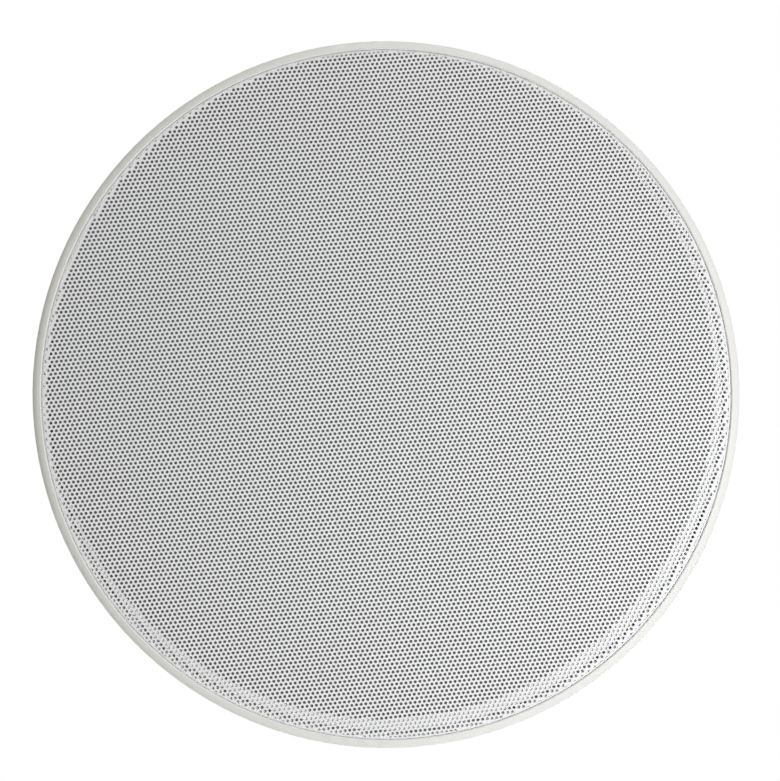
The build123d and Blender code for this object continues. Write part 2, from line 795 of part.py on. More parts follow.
def assembly():
    """Every node of the loudspeaker by name, at rest with the clamps stowed."""
    nodes = {
        "frame": frame(),
        "grille": grille(),
        "grille_cloth": grille_cloth(),
        "grille_magnets": grille_magnets(),
        "woofer_gasket": woofer_gasket(),
        "woofer_basket": woofer_basket(),
        "woofer_surround": woofer_surround(),
        "woofer_cone": woofer_cone(),
        "dust_cap": dust_cap(),
        "voice_coil": voice_coil(),
        "woofer_spider": woofer_spider(),
        "top_plate": top_plate(),
        "ferrite_magnet": ferrite_magnet(),
        "back_plate": back_plate(),
        "tweeter_bridge": tweeter_bridge(),
        "tweeter_housing": tweeter_housing(),
        "tweeter_dome": tweeter_dome(),
        "tweeter_magnet": tweeter_magnet(),
        "crossover_board": crossover_board(),
        "inductor": inductor(),
        "capacitors": capacitors(),
        "resistor": resistor(),
        "terminal_block": terminal_block(),
        "terminal_springs": terminal_springs(),
    }
    for number, angle in enumerate(clamp_angles(), 1):
        nodes[f"clamp_screw_{number}"] = polar(clamp_r, angle) * clamp_screw()
        nodes[f"clamp_dog_{number}"] = polar(clamp_r, angle) * Rot(0, 0, DOG_STOWED) * clamp_dog()
    for name, place in zip(("lever_red", "lever_black"), lever_places()):
        nodes[name] = place * lever()
    nodes.update(fasteners())
    return nodes


os.makedirs("parts", exist_ok=True)
for node, shape in assembly().items():
    export_step(shape, f"parts/{node}.step")
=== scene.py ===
import json
from math import atan2, cos, pi, radians, sin, sqrt, tau

import bmesh
import bpy
from mathutils import Matrix, Vector


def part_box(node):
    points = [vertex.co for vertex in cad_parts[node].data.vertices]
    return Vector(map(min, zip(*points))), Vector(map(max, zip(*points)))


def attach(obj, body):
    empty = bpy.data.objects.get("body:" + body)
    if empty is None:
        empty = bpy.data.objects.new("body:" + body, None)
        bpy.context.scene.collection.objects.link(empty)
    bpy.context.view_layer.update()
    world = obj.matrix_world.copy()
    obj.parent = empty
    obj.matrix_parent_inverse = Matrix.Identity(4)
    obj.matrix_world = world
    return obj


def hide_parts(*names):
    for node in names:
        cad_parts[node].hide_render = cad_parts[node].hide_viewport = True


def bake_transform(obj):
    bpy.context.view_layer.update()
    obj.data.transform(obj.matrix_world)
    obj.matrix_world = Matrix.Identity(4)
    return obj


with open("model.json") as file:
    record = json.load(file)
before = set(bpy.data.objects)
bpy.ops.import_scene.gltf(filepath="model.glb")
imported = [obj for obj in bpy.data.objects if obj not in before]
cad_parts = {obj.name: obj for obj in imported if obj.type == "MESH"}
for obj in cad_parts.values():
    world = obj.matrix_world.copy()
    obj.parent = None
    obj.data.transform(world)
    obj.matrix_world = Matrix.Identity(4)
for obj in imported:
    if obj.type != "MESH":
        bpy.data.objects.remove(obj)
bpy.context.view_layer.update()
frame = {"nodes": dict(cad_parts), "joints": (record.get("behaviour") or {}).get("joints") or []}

# Frame: the white moulding that carries everything, from the thin bezel to the clamp towers behind it.
# ABS, injection moulded in one piece, with a satin spark-eroded skin and edges just broken by the tool.
MM = 0.001
WELD = 0.002
CREASE = radians(35)
BEVEL_SAMPLES = 4
NOISE_MEAN = 0.5
MOTTLE = 18.0
MOTTLE_DETAIL = 3.0
MOTTLE_SWAY = 0.10
GRAIN_SWAY = 0.06
ABS_WHITE = (0.80, 0.797, 0.772, 1)
ABS_SHADE = (0.77, 0.767, 0.743, 1)


class Finish:
    """One socket of a material's nodes. Arithmetic on it adds Math nodes, and add() makes any other node."""

    def __init__(self, tree, socket=None):
        self.tree = tree
        self.socket = socket

    def add(self, kind, values, settings=None, out=0):
        """A node of this kind. Its settings are made first, then its sockets filled, by name or number."""
        node = self.tree.nodes.new("ShaderNode" + kind)
        for name, value in (settings or {}).items():
            setattr(node, name, value)
        for key, value in values.items():
            self.fill(node.inputs[key], value)
        return Finish(self.tree, node.outputs[out])

    def fill(self, target, value):
        """Links a socket, or sets its constant."""
        if isinstance(value, Finish):
            self.tree.links.new(value.socket, target)
        else:
            target.default_value = value

    def math(self, operation, first, second):
        return self.add("Math", {0: first, 1: second}, {"operation": operation})

    def __add__(self, other):
        return self.math("ADD", self, other)

    def __sub__(self, other):
        return self.math("SUBTRACT", self, other)

    def __rsub__(self, other):
        return self.math("SUBTRACT", other, self)

    def __mul__(self, other):
        return self.math("MULTIPLY", self, other)

    def __gt__(self, other):
        return self.math("GREATER_THAN", self, other)

    __radd__ = __add__
    __rmul__ = __mul__


def surface(name, **constants):
    """A material with these shader constants. Gives it, the shader's sockets and Object coordinates."""
    material = bpy.data.materials.new(name)
    material.use_nodes = True
    sockets = material.node_tree.nodes["Principled BSDF"].inputs
    for socket, value in constants.items():
        sockets[socket.replace("_", " ")].default_value = value
    return material, sockets, Finish(material.node_tree).add("TexCoord", {}, out="Object")


def noise(place, size, detail=2.0):
    """Soft random spots about this many millimetres across."""
    return place.add("TexNoise", {"Vector": place, "Scale": 1 / (size * MM), "Detail": detail})


def mixed(amount, first, second):
    """One colour that goes over into another."""
    return amount.add("Mix", {0: amount, 6: first, 7: second}, {"data_type": "RGBA"}, out=2)


def relief(height, depth, rounding=0.0):
    """A normal for a relief of this many millimetres, on edges rounded by a radius in millimetres."""
    values = {"Height": height, "Distance": depth * MM, "Strength": 1.0}
    if rounding:
        values["Normal"] = height.add("Bevel", {"Radius": rounding * MM}, {"samples": BEVEL_SAMPLES})
    return height.add("Bump", values)


def moulded(name, colour, shade, roughness, grain=0.35, depth=0.012, rounding=0.35, **constants):
    """Moulded plastic: an even colour with a little mottling, and the tool's fine grain."""
    material, sockets, place = surface(name, **constants)
    mottle = noise(place, MOTTLE, MOTTLE_DETAIL)
    skin = noise(place, grain)
    dull = roughness + MOTTLE_SWAY * (mottle - NOISE_MEAN) + GRAIN_SWAY * (skin - NOISE_MEAN)
    place.fill(sockets["Base Color"], mixed(mottle, colour, shade))
    place.fill(sockets["Roughness"], dull)
    place.fill(sockets["Normal"], relief(skin, depth, rounding))
    return material


def shown(bm, name, slot, material, body, *nodes):
    """Turns a bmesh in millimetres into a piece that rides on a body and stands for these CAD nodes."""
    bmesh.ops.scale(bm, vec=(MM, MM, MM), verts=bm.verts)
    for face in bm.faces:
        face.smooth = True
    for edge in bm.edges:
        edge.smooth = edge.calc_face_angle(0.0) < CREASE
    mesh = bpy.data.meshes.new(name)
    bm.to_mesh(mesh)
    bm.free()
    piece = bpy.data.objects.new(name, mesh)
    bpy.context.scene.collection.objects.link(piece)
    piece.data.materials.append(material)
    if body:
        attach(piece, body)
    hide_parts(*nodes)
    return piece


def joined(node):
    """A copy of a CAD node in millimetres, with its loose triangles joined."""
    bm = bmesh.new()
    bm.from_mesh(frame["nodes"][node].data)
    bmesh.ops.scale(bm, vec=(1 / MM, 1 / MM, 1 / MM), verts=bm.verts)
    bmesh.ops.remove_doubles(bm, verts=bm.verts, dist=WELD)
    return bm


abs_white = moulded("abs_white", ABS_WHITE, ABS_SHADE, roughness=0.50, Specular_IOR_Level=0.3)
shown(joined("frame"), "frame_moulding", "frame_white", abs_white, "root", "frame")

# Grille magnets: small nickel-plated blocks glued into the channel floor, which hold the grille's steel lip.
# Their own CAD blocks are shown, with the bright plating a little cloudy.
NICKEL = (0.62, 0.60, 0.56, 1)
NICKEL_DULL = (0.50, 0.49, 0.46, 1)


def clouded(name, colour, shade, roughness, sway, cloud, detail, **constants):
    """A finish whose colour and roughness drift in clouds. Gives it, its sockets, place and clouds."""
    material, sockets, place = surface(name, **constants)
    clouds = noise(place, cloud, detail)
    place.fill(sockets["Base Color"], mixed(clouds, colour, shade))
    place.fill(sockets["Roughness"], roughness + sway * (clouds - NOISE_MEAN))
    return material, sockets, place, clouds


def metal(name, bright, dull, roughness):
    """Plated metal with clouded plating and a fine grain."""
    material, sockets, place, _ = clouded(
        name, bright, dull, roughness, sway=0.22, cloud=9, detail=4, Metallic=1.0)
    place.fill(sockets["Normal"], relief(noise(place, size=0.6), depth=0.006, rounding=0.2))
    return material


def dressed(node, material):
    """Keeps a CAD node's own shape and gives it a finish."""
    slots = frame["nodes"][node].data.materials
    slots.clear()
    slots.append(material)


nickel = metal("nickel_plate", NICKEL, NICKEL_DULL, roughness=0.28)
dressed("grille_magnets", nickel)

# Woofer gasket: a ring of closed-cell foam between the basket's flange and the baffle.
# Die cut from black sheet, so its faces show the foam's cut pores.
FOAM_BLACK = (0.030, 0.030, 0.031, 1)
FOAM_PORE = (0.012, 0.012, 0.012, 1)
PORE = 0.5
PORE_DEPTH = 0.15

foam, foam_sockets, foam_place = surface("foam", Roughness=0.95)
pores = foam_place.add("TexVoronoi", {"Vector": foam_place, "Scale": 1 / (PORE * MM)})
foam_place.fill(foam_sockets["Base Color"], mixed(pores, FOAM_PORE, FOAM_BLACK))
foam_place.fill(foam_sockets["Normal"], relief(pores, PORE_DEPTH))
dressed("woofer_gasket", foam)

# Woofer basket: pressed steel with a flat flange, open windows between its spokes and a ledge for the spider.
# Stove-enamelled black, with the faint orange peel of a sprayed coat.
ENAMEL_BLACK = (0.022, 0.022, 0.024, 1)
ENAMEL_DUST = (0.040, 0.040, 0.041, 1)

enamel, enamel_sockets, enamel_place, _ = clouded(
    "black_enamel", ENAMEL_BLACK, ENAMEL_DUST, roughness=0.38, sway=0.2, cloud=22, detail=4,
    Coat_Weight=0.15, Coat_Roughness=0.3)
enamel_peel = noise(enamel_place, size=1.1)
enamel_place.fill(enamel_sockets["Normal"], relief(enamel_peel, depth=0.02, rounding=0.5))
shown(joined("woofer_basket"), "pressed_basket", "basket_black", enamel, "root", "woofer_basket")

# Woofer surround: a half roll of butyl rubber between the basket's flange and the cone's rim.
# Moulded in one ring. It is built here as twelve sector pieces.
SECTORS = 12
SECTOR_STEPS = 10
ROLL_T = 0.7
ROLL_STEPS = 14
ROLL_FLATTENED = 0.84
FOOT_W = 1.6
RUBBER = (0.020, 0.020, 0.021, 1)
RUBBER_BLOOM = (0.034, 0.034, 0.035, 1)

rubber, rubber_sockets, rubber_place, _ = clouded(
    "butyl_rubber", RUBBER, RUBBER_BLOOM, roughness=0.55, sway=0.2, cloud=14, detail=4,
    Specular_IOR_Level=0.35)
rubber_skin = noise(rubber_place, size=0.5)
rubber_place.fill(rubber_sockets["Normal"], relief(rubber_skin, depth=0.015))


def corners(node):
    """A CAD node's lowest and highest corner in millimetres."""
    low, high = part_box(node)
    return low / MM, high / MM


def sector(bm, number):
    """Turns an outline in the XZ plane through one sector of the ring."""
    turn = Matrix.Rotation(tau * number / SECTORS, 4, "Z")
    bmesh.ops.transform(bm, matrix=turn, verts=bm.verts)
    bmesh.ops.spin(bm, geom=bm.verts[:] + bm.edges[:], axis=(0, 0, 1), cent=(0, 0, 0), angle=tau / SECTORS,
                   steps=SECTOR_STEPS, use_merge=False)
    bmesh.ops.recalc_face_normals(bm, faces=bm.faces)


def bends(piece, number):
    """Bakes one sector piece's placement into its mesh."""
    angle = tau * (number + 0.5) / SECTORS
    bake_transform(piece)


cone_low, cone_high = corners("woofer_cone")
roll_high = corners("woofer_surround")[1]
roll_z = roll_high.z - ROLL_T
roll_out = roll_high.x - FOOT_W
roll_in = cone_high.x + FOOT_W / 2
roll_middle = Vector(((roll_out + roll_in) / 2, 0, roll_z))
for number in range(SECTORS):
    bm = bmesh.new()
    start = bm.verts.new((roll_out, 0, roll_z))
    bmesh.ops.spin(bm, geom=[start], axis=(0, 1, 0), cent=roll_middle, angle=pi, steps=ROLL_STEPS,
                   use_merge=False)
    flatten = Matrix.Translation(-roll_middle)
    bmesh.ops.scale(bm, vec=(1, 1, ROLL_FLATTENED), space=flatten, verts=bm.verts)
    ends = sorted(bm.verts, key=lambda vert: vert.co.x)
    for end, width in ((ends[0], -FOOT_W), (ends[-1], FOOT_W)):
        bm.edges.new((end, bm.verts.new(end.co + Vector((width, 0, 0)))))
    sector(bm, number)
    bmesh.ops.solidify(bm, geom=bm.faces[:], thickness=ROLL_T)
    piece = shown(bm, f"surround_{number + 1:02d}", "rubber_black", rubber, None, "woofer_surround")
    bends(piece, number)

# Woofer cone: filled polypropylene, thin and slightly flared, glued to the surround and to the coil's former.
# Injection moulded, with faint concentric ridges and a satin face.
CONE_T = 0.8
CONE_FLARE = 1.1
CONE_STEPS = 10
ROUND = 128
POLE_WELD = 0.0005
WAVE_FACTOR = 20.0
CLOUD_SHARE = 0.3
CONE_BLACK = (0.026, 0.026, 0.028, 1)
CONE_GREY = (0.042, 0.042, 0.045, 1)


def waves(place, spacing, settings, **values):
    """A Wave pattern whose crests lie this many millimetres apart."""
    scale = tau / WAVE_FACTOR / (spacing * MM)
    return place.add("TexWave", {"Vector": place, "Scale": scale, **values}, settings)


def rings(place, spacing):
    """Concentric ridges about the speaker's axis, a little uneven."""
    return waves(place, spacing, {"wave_type": "RINGS", "rings_direction": "Z"}, Distortion=0.4, Detail=1.0)


def bore(node):
    """The smallest radius of a turned CAD node in millimetres."""
    return min(vert.co.xy.length for vert in frame["nodes"][node].data.vertices) / MM


def turned(outline, closed=True, steps=ROUND):
    """A bmesh of an outline of (radius, height) points turned about the speaker's axis."""
    bm = bmesh.new()
    verts = [bm.verts.new((radius, 0, height)) for radius, height in outline]
    edges = [bm.edges.new(pair) for pair in zip(verts, verts[1:])]
    if closed:
        edges.append(bm.edges.new((verts[-1], verts[0])))
    bmesh.ops.spin(bm, geom=verts + edges, axis=(0, 0, 1), cent=(0, 0, 0), angle=tau, steps=steps,
                   use_merge=True)
    bmesh.ops.remove_doubles(bm, verts=bm.verts, dist=POLE_WELD)
    bmesh.ops.recalc_face_normals(bm, faces=bm.faces)
    return bm


polypropylene, cone_sockets, cone_place, cone_cloud = clouded(
    "filled_polypropylene", CONE_BLACK, CONE_GREY, roughness=0.42, sway=0.16, cloud=6, detail=5)
cone_skin = rings(cone_place, spacing=1.6) + CLOUD_SHARE * cone_cloud
cone_place.fill(cone_sockets["Normal"], relief(cone_skin, depth=0.03))
neck_r = bore("woofer_cone")
front = []
for step in range(CONE_STEPS + 1):
    share = step / CONE_STEPS
    radius = cone_high.x + (neck_r - cone_high.x) * share
    height = cone_low.z + (cone_high.z - CONE_T - cone_low.z) * share
    front.append((radius, height + CONE_FLARE * sin(pi * share)))
back = [(radius, height + CONE_T) for radius, height in reversed(front)]
shown(turned(front + back), "flared_cone", "cone_black", polypropylene, "cone", "woofer_cone")

# Dust cap: a shallow dome of the same plastic over the coil, glued to the cone.
# Moulded thin, with a rolled rim where the glue line runs.
CAP_RIM = 0.8
DOME_STEPS = 10


def dome(radius, seat, sag):
    """The outline of a dome towards the room, from its crown to its rim."""
    angles = [pi / 2 * step / DOME_STEPS for step in range(DOME_STEPS + 1)]
    return [(radius * sin(angle), seat - sag * cos(angle)) for angle in angles]


low, high = corners("dust_cap")
rim = [(high.x + CAP_RIM, high.z), (high.x, high.z + CAP_RIM), (0, high.z + CAP_RIM)]
cap = turned(dome(high.x, high.z, high.z - low.z) + rim, closed=False)
shown(cap, "domed_cap", "cone_black", polypropylene, "cone", "dust_cap")

# Voice coil: enamelled copper wire wound on a thin former, in the magnet's gap.
# Layer wound. It is nearly hidden, so its CAD ring is shown with the wire's warm shine.
COPPER = (0.62, 0.27, 0.12, 1)
COPPER_DARK = (0.36, 0.13, 0.06, 1)

copper = clouded("enamelled_copper", COPPER, COPPER_DARK, roughness=0.3, sway=0.2, cloud=4, detail=3,
                 Metallic=0.9, Coat_Weight=0.5)[0]
dressed("voice_coil", copper)

# Spider: a corrugated disc of resin-treated cotton that centres the coil and springs the cone back.
# Pressed hot from woven cloth, and glued to the former and to the basket's ledge.
SPIDER_T = 0.5
SPIDER_ROLLS = 6
ROLL_POINTS = 8
SPIDER_LAND = 10.0
WEAVE = 0.9
WEAVE_DEPTH = 0.08
WEAVE_SHARE = 0.7
CLOTH = (0.42, 0.29, 0.11, 1)
CLOTH_SHADE = (0.20, 0.12, 0.035, 1)


def woven(place, pitch):
    """Threads that cross at right angles, this many millimetres apart."""
    warp = waves(place, pitch, {"bands_direction": "X"})
    weft = waves(place, pitch, {"bands_direction": "Y"})
    return warp * weft


cotton, cotton_sockets, cotton_place = surface("resin_cotton", Roughness=0.8)
threads = woven(cotton_place, WEAVE)
tint = WEAVE_SHARE * threads + (1 - WEAVE_SHARE) * noise(cotton_place, size=12, detail=3)
cotton_place.fill(cotton_sockets["Base Color"], mixed(tint, CLOTH_SHADE, CLOTH))
cotton_place.fill(cotton_sockets["Normal"], relief(threads, WEAVE_DEPTH))
coil_high = corners("voice_coil")[1]
spider_low, spider_high = corners("woofer_spider")
spider_z = spider_high.z - SPIDER_T
wave_out = spider_high.x - SPIDER_LAND
wave_h = spider_z - spider_low.z
for number in range(SECTORS):
    bm = bmesh.new()
    last = bm.verts.new((spider_high.x, 0, spider_z))
    for step in range(SPIDER_ROLLS * ROLL_POINTS + 1):
        radius = wave_out + (coil_high.x - wave_out) * step / (SPIDER_ROLLS * ROLL_POINTS)
        sunk = wave_h / 2 * (1 - cos(tau * step / ROLL_POINTS))
        vert = bm.verts.new((radius, 0, spider_z - sunk))
        bm.edges.new((last, vert))
        last = vert
    sector(bm, number)
    bmesh.ops.solidify(bm, geom=bm.faces[:], thickness=SPIDER_T)
    piece = shown(bm, f"spider_{number + 1:02d}", "spider_cloth", cotton, None, "woofer_spider")
    bends(piece, number)

# Magnet: a sintered ferrite ring between two zinc-plated steel plates, the rear one with the vented pole.
# Ring and plates are glued. The ferrite's corners are chamfered, and the plates are turned.
FERRITE = (0.028, 0.028, 0.030, 1)
FERRITE_DUST = (0.060, 0.058, 0.058, 1)
FERRITE_ROUGH = 0.52
FERRITE_SWAY = 0.3
FERRITE_CHAMFER = 1.3
SPECK_LEVEL = 0.62
SPECK_SHARE = 0.6
ZINC = (0.50, 0.50, 0.49, 1)
ZINC_DULL = (0.38, 0.39, 0.39, 1)
PLATE_CHAMFER = 0.6
VENT_RECESS = 0.7
VENT_RECESS_R = 15.0
POLE_GAP = 1.3

ceramic, ferrite_sockets, ferrite_place = surface("sintered_ferrite")
ferrite_grain = noise(ferrite_place, size=1.4, detail=6)
ferrite_cloud = noise(ferrite_place, size=25, detail=3)
speck = SPECK_SHARE * (ferrite_grain > SPECK_LEVEL) + (1 - SPECK_SHARE) * ferrite_cloud
ferrite_place.fill(ferrite_sockets["Base Color"], mixed(speck, FERRITE, FERRITE_DUST))
ferrite_place.fill(ferrite_sockets["Roughness"], FERRITE_ROUGH + FERRITE_SWAY * (ferrite_grain - NOISE_MEAN))
ferrite_place.fill(ferrite_sockets["Normal"], relief(ferrite_grain, depth=0.03))
zinc, zinc_sockets, zinc_place, _ = clouded(
    "turned_zinc", ZINC, ZINC_DULL, roughness=0.36, sway=0.25, cloud=16, detail=4, Metallic=1.0)
zinc_place.fill(zinc_sockets["Normal"], relief(rings(zinc_place, spacing=0.5), depth=0.008))


def chamfered(inner, outer, low, high, chamfer):
    """The outline of a ring whose outer corners are chamfered."""
    return [(inner, low), (outer - chamfer, low), (outer, low + chamfer), (outer, high - chamfer),
            (outer - chamfer, high), (inner, high)]


low, high = corners("ferrite_magnet")
plate_z = high.z
ferrite_ring = chamfered(bore("ferrite_magnet"), high.x, low.z, high.z, FERRITE_CHAMFER)
shown(turned(ferrite_ring), "ferrite_ring", "ferrite", ceramic, "root", "ferrite_magnet")
low, high = corners("top_plate")
plate_ring = chamfered(bore("top_plate"), high.x, low.z, high.z, PLATE_CHAMFER)
shown(turned(plate_ring), "front_plate", "zinc_plate", zinc, "root", "top_plate")
low, high = corners("back_plate")
vent_r = bore("back_plate")
pole_r = coil_high.x - POLE_GAP
yoke = [(vent_r, low.z), (pole_r, low.z)]
yoke += chamfered(pole_r, high.x, plate_z, high.z, PLATE_CHAMFER)[:-1]
yoke += [(VENT_RECESS_R + VENT_RECESS, high.z), (VENT_RECESS_R, high.z - VENT_RECESS),
         (vent_r + VENT_RECESS, high.z - VENT_RECESS), (vent_r, high.z - 2 * VENT_RECESS)]
shown(turned(yoke), "vented_yoke", "zinc_plate", zinc, "root", "back_plate")

# Screws: cold-headed pan heads with a cross recess, black on the driver and bridge, zinc-plated elsewhere.
# Each is driven into a moulded boss. The recess is pressed into the head by the heading die.
RECESS_CELLS = 5
RECESS_ARM = 0.56
RECESS_W = 0.17
RECESS_DEPTH = 0.6
RECESS_TAPER = 0.75
HEAD_PROFILE = ((0.80, 0.94), (0.95, 0.75), (1.0, 0.45), (1.0, 0.0))
TIP_R = 0.3
TWIST = 0.9
OXIDE = (0.020, 0.020, 0.021, 1)
OXIDE_WORN = (0.055, 0.053, 0.050, 1)
PASSIVATED = (0.60, 0.59, 0.55, 1)
PASSIVATED_BLUE = (0.46, 0.49, 0.53, 1)

black_oxide = metal("black_oxide", OXIDE, OXIDE_WORN, roughness=0.42)
bright_zinc = metal("bright_zinc", PASSIVATED, PASSIVATED_BLUE, roughness=0.30)


def solids(node):
    """The lowest and highest corner of each separate solid in a CAD node, in millimetres."""
    bm = joined(node)
    left = set(bm.verts)
    boxes = []
    while left:
        found = {left.pop()}
        edge = set(found)
        while edge:
            edge = {link.other_vert(vert) for vert in edge for link in vert.link_edges} - found
            found |= edge
        left -= found
        box = [Vector([pick(vert.co[axis] for vert in found) for axis in range(3)]) for pick in (min, max)]
        boxes.append(box)
    bm.free()
    return sorted(boxes, key=lambda box: tuple(box[0]))


def pan_screw(bm, place, head_r, head_h, shank_r, length):
    """A pan-head screw with its head below z = 0 and its shank up, moved to its place."""
    older = set(bm.verts)
    arm = RECESS_ARM * head_r
    half = RECESS_W * head_r
    lines = [-arm, -(arm + half) / 2, -half, half, (arm + half) / 2, arm]
    size = RECESS_CELLS / 2
    top = bmesh.ops.create_grid(bm, x_segments=RECESS_CELLS, y_segments=RECESS_CELLS, size=size)["verts"]
    for vert in top:
        vert.co = (lines[round(vert.co.x + size)], lines[round(vert.co.y + size)], -head_h)
    middles = [(face, face.calc_center_median()) for face in bm.faces if older.isdisjoint(face.verts)]
    cross = [face for face, middle in middles if min(abs(middle.x), abs(middle.y)) < half]
    pressed = bmesh.ops.extrude_face_region(bm, geom=cross)["geom"]
    bmesh.ops.delete(bm, geom=cross, context="FACES_ONLY")
    floor = [part for part in pressed if isinstance(part, bmesh.types.BMVert)]
    bmesh.ops.translate(bm, vec=(0, 0, RECESS_DEPTH * head_h), verts=floor)
    bmesh.ops.scale(bm, vec=(RECESS_TAPER, RECESS_TAPER, 1), verts=floor)
    rim = [edge for edge in bm.edges if edge.is_boundary and older.isdisjoint(edge.verts)]
    steps = [(wide * head_r, -tall * head_h) for wide, tall in HEAD_PROFILE]
    steps += [(shank_r, 0), (shank_r, length - shank_r), (TIP_R * shank_r, length)]
    for radius, height in steps:
        grown = bmesh.ops.extrude_edge_only(bm, edges=rim)["geom"]
        rim = [part for part in grown if isinstance(part, bmesh.types.BMEdge) and part.is_boundary]
        for part in grown:
            if isinstance(part, bmesh.types.BMVert):
                around = part.co.xy.normalized() * radius
                part.co = (around.x, around.y, height)
    bmesh.ops.holes_fill(bm, edges=rim, sides=0)
    made = [vert for vert in bm.verts if vert not in older]
    bmesh.ops.recalc_face_normals(bm, faces=[face for face in bm.faces if older.isdisjoint(face.verts)])
    bmesh.ops.transform(bm, matrix=place, verts=made)


def screws(node, slot, material, head_h, shank_r, heads_up):
    """Every screw of one kind, in place of its plain CAD group."""
    bm = bmesh.new()
    for number, (low, high) in enumerate(solids(node)):
        seat = high.z - head_h if heads_up else low.z + head_h
        length = seat - low.z if heads_up else high.z - seat
        middle = (low + high) / 2
        turn = Matrix.Rotation(pi if heads_up else 0, 4, "X") @ Matrix.Rotation(TWIST * number, 4, "Z")
        place = Matrix.Translation((middle.x, middle.y, seat)) @ turn
        pan_screw(bm, place, (high.x - low.x) / 2, head_h, shank_r, length)
    shown(bm, node.replace("screws", "pan_screws"), slot, material, "root", node)


screws("woofer_screws", "screw_black", black_oxide, head_h=2.4, shank_r=1.9, heads_up=False)
screws("bridge_screws", "screw_black", black_oxide, head_h=2.2, shank_r=1.6, heads_up=False)
screws("board_screws", "screw_zinc", bright_zinc, head_h=1.8, shank_r=1.3, heads_up=True)
screws("terminal_screws", "screw_zinc", bright_zinc, head_h=1.8, shank_r=1.5, heads_up=True)

# Tweeter bridge: a black moulded bar across the woofer, with a ring in its middle for the tweeter.
# ABS with a fine matt texture, screwed to the frame's ledge at both ends.
BRIDGE_BLACK = (0.022, 0.022, 0.023, 1)
BRIDGE_SHADE = (0.032, 0.032, 0.033, 1)

abs_black = moulded("abs_black", BRIDGE_BLACK, BRIDGE_SHADE, roughness=0.50, grain=0.5, depth=0.03)
shown(joined("tweeter_bridge"), "bridge_bar", "bridge_black", abs_black, "root", "tweeter_bridge")

# Tweeter housing: a black moulded cup with a rolled rim and a short flared mouth round the dome.
# ABS like the bridge, pressed into the bridge's ring from the front.
CUP_WALL = 3.0
CUP_BEVEL = 1.0
RIM_T = 0.9
RIM_ROUND = 0.4
MOUTH_R = 18.0
MOUTH_FLARE = 1.6
MOUTH_ROUND = 1.0
MOUTH_ROUND_H = 0.15
THROAT_R = 13.5
THROAT_FLARE = 0.5
THROAT_DEPTH = 3.0

low, high = corners("tweeter_housing")
cup_r = high.x - CUP_WALL
throat_z = low.z + THROAT_DEPTH
cup = [(0, throat_z), (THROAT_R, throat_z), (THROAT_R + THROAT_FLARE, throat_z - RIM_T),
       (MOUTH_R - MOUTH_FLARE, low.z + RIM_T), (MOUTH_R, low.z + MOUTH_ROUND_H),
       (MOUTH_R + MOUTH_ROUND, low.z), (high.x - RIM_ROUND, low.z), (high.x, low.z + RIM_ROUND),
       (high.x, low.z + RIM_T), (cup_r, low.z + RIM_T), (cup_r, high.z - CUP_BEVEL),
       (cup_r - CUP_BEVEL, high.z), (0, high.z)]
shown(turned(cup, closed=False), "tweeter_cup", "bridge_black", abs_black, "root", "tweeter_housing")

# Tweeter dome: coated silk pressed to a dome with a small half roll round it.
# The cloth's weave still shows through its damping coat.
SILK_ROLL = 2.6
SILK_ROLL_H = 0.9
SILK_ROLL_STEPS = 6
SILK_WEAVE = 0.35
SILK_ROUGH = 0.45
SILK_SWAY = 0.2
SILK = (0.030, 0.027, 0.026, 1)
SILK_LIGHT = (0.070, 0.062, 0.058, 1)

silk, silk_sockets, silk_place = surface("coated_silk", Sheen_Weight=0.3)
silk_threads = woven(silk_place, SILK_WEAVE)
silk_place.fill(silk_sockets["Base Color"], mixed(silk_threads, SILK, SILK_LIGHT))
silk_place.fill(silk_sockets["Roughness"], SILK_ROUGH + SILK_SWAY * silk_threads)
silk_place.fill(silk_sockets["Normal"], relief(silk_threads, depth=0.02))
low, high = corners("tweeter_dome")
dome_r = high.x - SILK_ROLL
pressed = dome(dome_r, high.z, high.z - low.z)
for step in range(1, SILK_ROLL_STEPS + 1):
    share = step / SILK_ROLL_STEPS
    pressed.append((dome_r + SILK_ROLL * share, high.z - SILK_ROLL_H * sin(pi * share)))
shown(turned(pressed + [(0, high.z)], closed=False), "silk_dome", "dome_silk", silk, "root", "tweeter_dome")

# Tweeter magnet: a small disc glued to the back of the cup.
# Nickel plated like the grille's magnets, and shown as its CAD disc.
dressed("tweeter_magnet", nickel)

# Clamp screws: long zinc-plated machine screws from the ledge to the cap of each clamp tower.
# The head has a cross recess, and a rolled thread runs the length of the tower.
CLAMPS = 4
CLAMP_HEAD_H = 3.0
CLAMP_SHANK_R = 2.25
THREAD_PITCH = 1.4
THREAD_DEPTH = 0.28
THREAD_STEPS = 16
PLAIN_SHANK = 4.0
PLAIN_TIP = 1.5

root_r = CLAMP_SHANK_R - THREAD_DEPTH
sunk_r = root_r - THREAD_DEPTH
ridge = [(sunk_r, 0), (CLAMP_SHANK_R, THREAD_PITCH / 2), (sunk_r, THREAD_PITCH)]
for number in range(1, CLAMPS + 1):
    node = f"clamp_screw_{number}"
    low, high = corners(node)
    middle = (low + high) / 2
    seat = low.z + CLAMP_HEAD_H
    bm = bmesh.new()
    place = Matrix.Translation((middle.x, middle.y, seat))
    pan_screw(bm, place, (high.x - low.x) / 2, CLAMP_HEAD_H, root_r, high.z - seat)
    start = seat + PLAIN_SHANK
    turns = int((high.z - PLAIN_TIP - start) / THREAD_PITCH) - 1
    verts = [bm.verts.new((middle.x + radius, middle.y, start + rise)) for radius, rise in ridge]
    edges = [bm.edges.new(pair) for pair in zip(verts, verts[1:])]
    bmesh.ops.spin(bm, geom=verts + edges, axis=(0, 0, 1), cent=(middle.x, middle.y, 0), angle=tau * turns,
                   steps=THREAD_STEPS * turns, dvec=(0, 0, THREAD_PITCH / THREAD_STEPS), use_merge=False)
    shown(bm, f"threaded_screw_{number}", "screw_zinc", bright_zinc, node, node)

